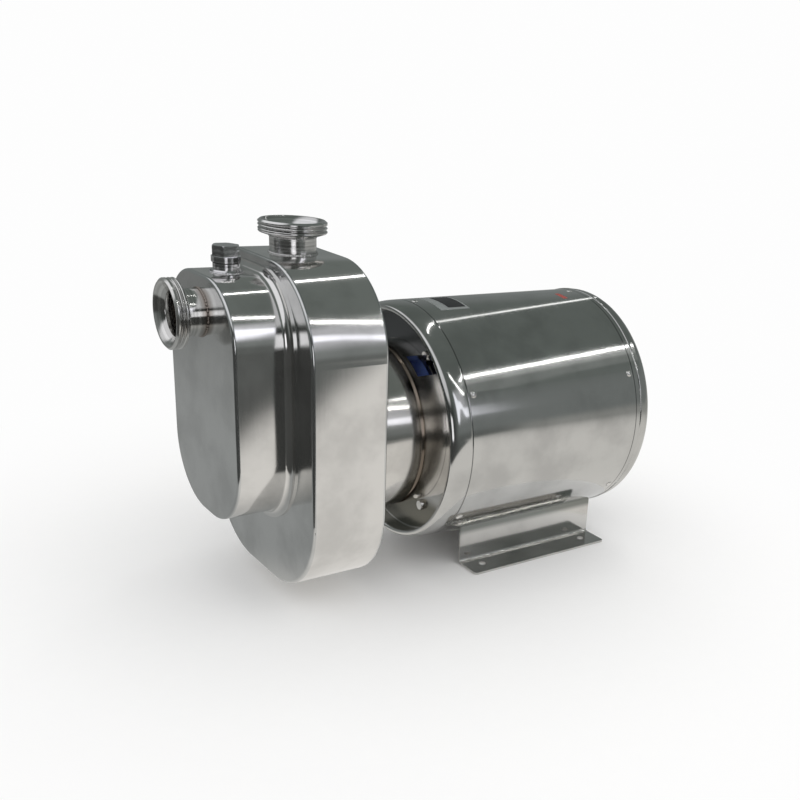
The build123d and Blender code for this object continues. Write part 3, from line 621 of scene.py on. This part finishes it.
def discharge_union_piece():
    mesh = union_mesh()
    upright_turn = Matrix.Rotation(math.radians(90.0), 4, "Y")
    placing = Matrix.Translation((DISCHARGE_X, 0.0, DISCHARGE_TOP)) @ upright_turn
    bmesh.ops.transform(mesh, matrix=placing, verts=mesh.verts[:])
    piece = piece_from("discharge_union_thread", mesh, discharge_finish)
    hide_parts("discharge_union")


suction_union_piece()
discharge_union_piece()


# Weld beads
BEAD_POINTS = 10
BEAD_SWELL = 0.25
BEAD_STEPS_PER_RIPPLE = 4
BOSS_WELD_RADIUS = 0.0172


def bead(name, placing, radius, thickness, ripples, finish):
    """A weld bead round a tube, with the small ripples of its laying."""
    profile = []
    for index in range(BEAD_POINTS):
        turn = FULL_TURN * index / BEAD_POINTS
        profile.append((thickness * math.cos(turn), radius + thickness * math.sin(turn)))
    mesh = lathe(profile, BEAD_STEPS_PER_RIPPLE * ripples)
    for vertex in mesh.verts:
        turn = math.atan2(vertex.co.y, vertex.co.z)
        out = math.hypot(vertex.co.y, vertex.co.z)
        swell = 1.0 + BEAD_SWELL * math.cos(turn * ripples)
        new_out = radius + (out - radius) * swell
        vertex.co.x *= swell
        vertex.co.y *= new_out / out
        vertex.co.z *= new_out / out
    smooth(mesh, sharp_angle=2.0)
    bmesh.ops.transform(mesh, matrix=placing, verts=mesh.verts[:])
    piece_from(name, mesh, finish)


def on_suction(x):
    """Sets a ring about the suction port's axis."""
    return Matrix.Translation((x, 0.0, SUCTION_HEIGHT))


def upright(x, z):
    """Sets a ring about an upright axis."""
    return Matrix.Translation((x, 0.0, z)) @ Matrix.Rotation(math.radians(-90.0), 4, "Y")


bead("suction_weld", on_suction(FRONT_FACE), TUBE_RADIUS, thickness=0.0013, ripples=46,
     finish=finishes["union_steel"])
bead("suction_neck_weld", on_suction(SUCTION_FACE + UNION_LENGTH), TUBE_RADIUS, thickness=0.0006, ripples=60,
     finish=finishes["union_steel"])
bead("discharge_weld", upright(DISCHARGE_X, REAR_TANK_TOP), TUBE_RADIUS, thickness=0.0016, ripples=46,
     finish=discharge_finish)
bead("discharge_neck_weld", upright(DISCHARGE_X, DISCHARGE_TOP - UNION_LENGTH), TUBE_RADIUS, thickness=0.0006,
     ripples=60, finish=discharge_finish)
bead("boss_weld", upright(BOSS_X, FRONT_TANK_TOP), BOSS_WELD_RADIUS, thickness=0.0013, ripples=34,
     finish=finishes["boss_steel"])


# The front cap's rim, rolled to a bulge
RIM_DEPTH = 0.007
RIM_POWER = 2.3
RIM_POINTS = 22
RIM_STEPS = 192
RIM_SHEET = 0.0009
RIM_SEAM = 0.0012
RIM_START = 0.0024


def cap_rim():
    """A skin over the cap's rim, from its seam with the jacket round to its front."""
    seam = JACKET_FRONT - RIM_SEAM
    start = JACKET_FRONT - RIM_START
    length = start - CAP_FRONT
    foot = JACKET_RADIUS - RIM_DEPTH
    outer = [(seam, JACKET_RADIUS - 0.0003), (seam - 0.0004, JACKET_RADIUS - 0.00008)]
    for index in range(RIM_POINTS + 1):
        share = math.sin(math.radians(90.0) * index / RIM_POINTS)
        height = RIM_DEPTH * (1.0 - share ** RIM_POWER) ** (1.0 / RIM_POWER)
        outer.append((start - length * share, foot + height))
    inner = [
        (CAP_FRONT + 0.0008, foot),
        (CAP_FRONT + 0.009, JACKET_RADIUS - 0.003 - RIM_SHEET),
        (seam, JACKET_RADIUS - 2.0 * RIM_SHEET),
    ]
    mesh = lathe(outer + inner, RIM_STEPS)
    smooth(mesh)
    bmesh.ops.translate(mesh, verts=mesh.verts[:], vec=(0.0, 0.0, SHAFT_HEIGHT))
    piece_from("front_cap_rim", mesh, finishes["shroud_steel"])


cap_rim()


# Domed heads of the jacket's screws
SCREW_RADIUS = 0.0048
SCREW_STEPS = 28
SCREW_ANGLES = (-38.0, 27.0, 90.0, 153.0, 218.0)
SCREW_PROFILE = (
    (-0.001, SCREW_RADIUS),
    (-0.001, 0.0001),
    (0.0019, 0.0001),
    (0.0018, 0.0022),
    (0.0012, 0.0038),
    (0.0003, 0.0046),
)


def add_screw(mesh, x, angle):
    """Adds one screw's head at a place along the jacket and an angle round it."""
    screw = lathe(SCREW_PROFILE, SCREW_STEPS)
    smooth(screw, sharp_angle=0.9)
    turn = math.radians(angle)
    out = Vector((0.0, -math.cos(turn), math.sin(turn)))
    lean = Vector((1.0, 0.0, 0.0)).rotation_difference(out).to_matrix().to_4x4()
    centre = Vector((x, 0.0, SHAFT_HEIGHT)) + out * JACKET_RADIUS
    bmesh.ops.transform(screw, matrix=Matrix.Translation(centre) @ lean, verts=screw.verts[:])
    part = bpy.data.meshes.new("screw_part")
    screw.to_mesh(part)
    screw.free()
    mesh.from_mesh(part)
    bpy.data.meshes.remove(part)


def jacket_screws():
    screw_low, screw_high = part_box("jacket_screws")
    mesh = bmesh.new()
    for x in (screw_low.x + SCREW_RADIUS, screw_high.x - SCREW_RADIUS):
        for angle in SCREW_ANGLES:
            add_screw(mesh, x, angle)
    piece = piece_from("jacket_screw_heads", mesh, finishes["bolt_steel"])
    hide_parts("jacket_screws")


jacket_screws()


# Label plate and a red patch on the jacket
PATCH_STEPS = 24


def curved_patch(name, x_start, x_end, first, last, lift, thickness, finish):
    """A thin plate bent to the jacket between two places along it and two angles round it."""
    mesh = bmesh.new()
    radius = JACKET_RADIUS + lift
    outline(mesh, [(x_start, 0.0, radius), (x_end, 0.0, radius)])
    first_turn = Matrix.Rotation(math.radians(90.0 - first), 3, "X")
    bmesh.ops.rotate(mesh, verts=mesh.verts[:], cent=(0, 0, 0), matrix=first_turn)
    spin(mesh, (1, 0, 0), -math.radians(last - first), PATCH_STEPS)
    bmesh.ops.recalc_face_normals(mesh, faces=mesh.faces[:])
    if mesh.faces[:][0].normal.z < 0.0:
        bmesh.ops.reverse_faces(mesh, faces=mesh.faces[:])
    bmesh.ops.solidify(mesh, geom=mesh.faces[:], thickness=thickness)
    bmesh.ops.translate(mesh, verts=mesh.verts[:], vec=(0.0, 0.0, SHAFT_HEIGHT))
    smooth(mesh)
    piece_from(name, mesh, finish)


def label_metal():
    """Brushed along the pump, with soft streaks."""
    finish = Finish("label_metal", Metallic=0.9)
    grain = finish.noise(scale=1.0, stretch=(30.0, 900.0, 900.0), detail=2.0)
    finish.set("Base Color", finish.mix((0.62, 0.63, 0.63), (0.74, 0.75, 0.75), grain))
    finish.set("Roughness", grain * 0.15 + 0.3)
    finish.bump(grain * 0.00002)
    return finish


def label_field():
    return speckled(
        "label_field", (0.010, 0.010, 0.011), (0.018, 0.018, 0.02), 0.4, scale=500.0, depth=0.00002,
    )


def arrow_red():
    return speckled("arrow_red", (0.30, 0.045, 0.035), (0.38, 0.06, 0.045), 0.45, scale=500.0, depth=0.00002)


curved_patch("label_plate", x_start=-0.133, x_end=-0.090, first=76.0, last=96.0, lift=0.0002,
             thickness=0.0004, finish=label_metal())
curved_patch("label_dark_field", x_start=-0.119, x_end=-0.093, first=78.0, last=94.5, lift=0.0005,
             thickness=0.0002, finish=label_field())
curved_patch("turning_arrow_shaft", x_start=0.073, x_end=0.081, first=79.0, last=86.5, lift=0.0001,
             thickness=0.0002, finish=arrow_red())


# Floor and backdrop
BACKDROP = (0.985, 0.985, 0.985)
SKY_LIGHT = 1.0
FLOOR_REACH = 12.0
FLOOR_MIDDLE = -0.155
FLOOR_PALE = (0.93, 0.928, 0.923)
FLOOR_FADE = (0.34, 0.82)


def stage_piece(name, mesh, finish):
    piece = object_from(name, mesh, finish)
    return piece


def floor():
    """A pale floor that turns into the backdrop's white further out."""
    finish = Finish("floor_paper", Roughness=0.9)
    grain = finish.noise(scale=60.0, detail=3.0)
    finish.set("Base Color", finish.mix(scaled(FLOOR_PALE, 0.985), FLOOR_PALE, grain))
    x, y, z = finish.axes()
    far = off_axis(x - FLOOR_MIDDLE, y).over(*FLOOR_FADE)
    paper = Value(finish, finish.shader.outputs[0])
    glow = finish.add("Emission", sockets={"Color": BACKDROP})
    blend = finish.add("MixShader", sockets={0: far, 1: paper, 2: glow})
    finish.tree.links.new(blend.socket, finish.output.inputs["Surface"])
    mesh = bmesh.new()
    bmesh.ops.create_grid(mesh, x_segments=1, y_segments=1, size=FLOOR_REACH)
    stage_piece("floor", mesh, finish)


class World(Finish):
    """The world's node tree, with the same methods as a material's."""

    def __init__(self, name):
        self.sky = bpy.data.worlds.new(name)
        self.sky.use_nodes = True
        self.tree = self.sky.node_tree
        self.shader = self.tree.nodes["Background"]


def world():
    """White paper all round for the camera and for reflections, and a plain soft light for the rest."""
    sky = World("studio")
    seen = 0.0
    for ray in ("Is Camera Ray", "Is Glossy Ray", "Is Transmission Ray"):
        seen = sky.math("MAXIMUM", seen, sky.add("LightPath", output=ray))
    sky.set("Color", BACKDROP)
    sky.set("Strength", seen * (1.0 - SKY_LIGHT) + SKY_LIGHT)
    bpy.context.scene.world = sky.sky


# The plain room that only reflections see
ROOM_RADIUS = 3.2
ROOM_HEIGHT = 3.4
ROOM_STEPS = 96
CARD_START = 0.20
CARD_MIDDLE = 1.2
CARD_LIFT = 0.002
CARD_HOLE = 0.001

# Its colours
SHEET_NEAR = (0.80, 0.785, 0.755)
SHEET_FAR = (0.36, 0.365, 0.35)
SHEET_LEFT = (0.36, 0.37, 0.365)
SHEET_LEFT_FAR = (0.22, 0.225, 0.22)
GROUND_NEAR = (0.06, 0.062, 0.06)
GROUND_SIDE = (0.13, 0.14, 0.135)
WALL = (0.215, 0.232, 0.228)
WALL_BEHIND_CAMERA = (0.05, 0.055, 0.052)
CEILING = (0.155, 0.175, 0.165)
SKYLIGHT = (0.95, 0.96, 0.99)
WINDOW = (1.55, 1.57, 1.70)
WINDOW_GLOW = (0.62, 0.63, 0.66)
DOOR = (1.5, 1.5, 1.55)

# Its soft edges, each with its start and end
SHEET_FADE = (0.3, 1.6)
SHEET_LEFT_SLOPE = 1.2
SHEET_LEFT_START = (0.25, 0.6)
SHEET_LEFT_FADE = (0.8, 2.1)
SHEET_RIGHT_START = (0.5, 1.0)
SHEET_RIGHT_END = (1.8, 2.4)
SHEET_EDGE_SIDE = (-0.716, -0.698)
SHEET_EDGE = (0.565, 0.645)
GROUND_FADE = (-0.5, 0.4)
WALL_FOOT = (0.01, 0.4)
CAMERA_SIDE = (-0.62, -0.78)
BEHIND_CAMERA = (0.62 * ROOM_RADIUS, 0.9 * ROOM_RADIUS)
CEILING_START = (1.2, 2.4)
SKYLIGHT_SIDE = (-1.2, -0.5)
SKYLIGHT_FOOT = (1.5, 2.1)
WINDOW_WALL = (1.6, 2.0)
WINDOW_LEFT = (0.45, 0.62)
WINDOW_RIGHT = (1.45, 1.85)
WINDOW_RIM = (0.75, 1.0)
WINDOW_MIDDLE = 1.64
WINDOW_DROP = 0.5
WINDOW_DROPS = (1.15, 1.45)
WINDOW_NARROWING = 0.74
WINDOW_NARROWS = (0.70, 1.05)
GLOW_FOOT = (0.5, 1.5)
GLOW_TOP = (2.2, 2.9)
DOOR_MIDDLE = -1.42
DOOR_SIDES = (0.35, 0.62)
DOOR_WALL = (2.0, 2.3)
DOOR_TOP = (0.9, 1.2)


def ground_tones(finish, x, y):
    """The pale sheet under the pump, greyer further off and to the left, and the dark ground past it."""
    reach = off_axis(x, y)
    sheet = finish.mix(SHEET_NEAR, SHEET_FAR, x.over(*SHEET_FADE))
    left_sheet = finish.mix(SHEET_LEFT, SHEET_LEFT_FAR, reach.over(*SHEET_LEFT_FADE))
    sheet = finish.mix(sheet, left_sheet, (y - x * SHEET_LEFT_SLOPE).over(*SHEET_LEFT_START))
    ground = finish.mix(GROUND_NEAR, GROUND_SIDE, x.over(*GROUND_FADE))
    past_edge = (x * SHEET_EDGE_SIDE[0] + y * SHEET_EDGE_SIDE[1]).over(*SHEET_EDGE)
    right_sheet = x.over(*SHEET_RIGHT_START) * (1.0 - reach.over(*SHEET_RIGHT_END))
    return finish.mix(sheet, ground, past_edge * (1.0 - right_sheet))


def wall_tones(finish, x, y, z):
    """Walls and ceiling, with a skylight on the left and a tapered window in its glow on the near side."""
    behind = (x * CAMERA_SIDE[0] + y * CAMERA_SIDE[1]).over(*BEHIND_CAMERA)
    wall = finish.mix(finish.mix(WALL, WALL_BEHIND_CAMERA, behind), CEILING, z.over(*CEILING_START))
    skylight = (1.0 - x.over(*SKYLIGHT_SIDE)) * z.over(*SKYLIGHT_FOOT)
    wall = finish.mix(wall, SKYLIGHT, skylight)
    window_span = (0.0 - y).over(*WINDOW_WALL) * x.over(*WINDOW_LEFT) * (1.0 - x.over(*WINDOW_RIGHT))
    glow = z.over(*GLOW_FOOT) * (1.0 - z.over(*GLOW_TOP)) * window_span
    wall = finish.mix(wall, WINDOW_GLOW, glow * 0.9)
    half_height = 1.0 - x.over(*WINDOW_NARROWS) * WINDOW_NARROWING
    middle = WINDOW_MIDDLE - x.over(*WINDOW_DROPS) * WINDOW_DROP
    window = (1.0 - ((z - middle).size() / half_height).over(*WINDOW_RIM)) * window_span
    return finish.mix(wall, WINDOW, window)


def room():
    """What reflections see: the pale sheet under the pump with its edge, dark ground, walls and openings."""
    finish = Finish(
        "room_card", Base_Color=(0.0, 0.0, 0.0), Roughness=1.0, Specular_IOR_Level=0.0, Emission_Strength=1.0,
    )
    x, y, z = finish.axes()
    tone = finish.mix(ground_tones(finish, x, y), wall_tones(finish, x, y, z), z.over(*WALL_FOOT))
    door_width = 1.0 - (x - DOOR_MIDDLE).size().over(*DOOR_SIDES)
    door = door_width * (0.0 - y).over(*DOOR_WALL) * (1.0 - z.over(*DOOR_TOP))
    finish.set("Emission Color", finish.mix(tone, DOOR, door))
    mesh = bmesh.new()
    outline(mesh, [
        (CARD_START, 0.0, CARD_LIFT),
        (CARD_MIDDLE, 0.0, CARD_LIFT),
        (ROOM_RADIUS, 0.0, CARD_LIFT),
        (ROOM_RADIUS, 0.0, ROOM_HEIGHT),
        (CARD_HOLE, 0.0, ROOM_HEIGHT),
    ])
    spin(mesh, (0, 0, 1), FULL_TURN, ROOM_STEPS)
    card = stage_piece("room_card", mesh, finish)
    card.visible_camera = False
    card.visible_diffuse = False
    card.visible_transmission = False
    card.visible_shadow = False


# Lamps and camera
PUMP_MIDDLE = (-0.15, 0.0, 0.25)


def area_light(name, start, end, width, radiance, glossy=True):
    """A long lamp between two points, facing the pump."""
    middle = (Vector(start) + Vector(end)) / 2.0
    along = Vector(end) - Vector(start)
    lamp = bpy.data.lights.new(name, "AREA")
    lamp.shape = "RECTANGLE"
    lamp.size = along.length
    lamp.size_y = width
    lamp.energy = radiance * math.pi * along.length * width
    x_axis = along.normalized()
    z_axis = (middle - Vector(PUMP_MIDDLE)).normalized()
    z_axis = (z_axis - x_axis * z_axis.dot(x_axis)).normalized()
    y_axis = z_axis.cross(x_axis)
    turn = Matrix((x_axis, y_axis, z_axis)).transposed().to_4x4()
    holder = bpy.data.objects.new(name, lamp)
    holder.matrix_world = Matrix.Translation(middle) @ turn
    holder.visible_glossy = glossy
    holder.visible_camera = False
    bpy.context.scene.collection.objects.link(holder)


def lamps():
    """Strip lamps with their glow, which the steel shows as bright bands, and a soft main light."""
    area_light("strip_near", (1.3, -1.85, 2.2), (2.7, -1.10, 2.66), width=0.04, radiance=13.0)
    area_light("strip_near_glow", (1.2, -1.93, 2.07), (2.6, -1.20, 2.50), width=0.34, radiance=0.22)
    area_light("strip_near_halo", (1.2, -1.98, 1.98), (2.6, -1.26, 2.40), width=0.72, radiance=0.10)
    area_light("strip_tanks", (0.54, -1.78, 2.63), (1.42, -2.33, 1.80), width=0.035, radiance=12.0)
    area_light("strip_tanks_glow", (0.54, -1.78, 2.63), (1.42, -2.33, 1.80), width=0.26, radiance=0.22)
    area_light("strip_far", (0.5, 0.3, 2.9), (1.3, 1.01, 2.5), width=0.035, radiance=12.0)
    area_light("strip_far_end", (1.34, 1.05, 2.48), (2.7, 2.26, 1.80), width=0.05, radiance=2.2)
    area_light("soft_key", (-1.6, -1.2, 2.4), (0.4, -1.6, 2.4), width=1.6, radiance=0.55, glossy=False)


def camera():
    """The photograph's camera: 46 mm lens, its place and its turn from the fitted outlines."""
    place = Vector((-0.84478, -1.11012, 0.60593))
    yaw = math.radians(40.324)
    pitch = math.radians(21.566)
    roll = math.radians(4.883)
    forward = Vector((math.sin(yaw) * math.cos(pitch), math.cos(yaw) * math.cos(pitch), -math.sin(pitch)))
    right = Vector((math.cos(yaw), -math.sin(yaw), 0.0))
    up = right.cross(forward)
    rolled_right = right * math.cos(roll) + up * math.sin(roll)
    rolled_up = up * math.cos(roll) - right * math.sin(roll)
    lens = bpy.data.cameras.new("camera")
    lens.lens = 45.986
    lens.sensor_width = 36.0
    lens.shift_x = -0.18255
    lens.shift_y = 0.12194
    lens.clip_start = 0.05
    holder = bpy.data.objects.new("camera", lens)
    turn = Matrix((rolled_right, rolled_up, -forward)).transposed().to_4x4()
    holder.matrix_world = Matrix.Translation(place) @ turn
    bpy.context.scene.collection.objects.link(holder)
    bpy.context.scene.camera = holder


floor()
room()
world()
lamps()
camera()
bpy.context.scene.view_settings.view_transform = "Standard"
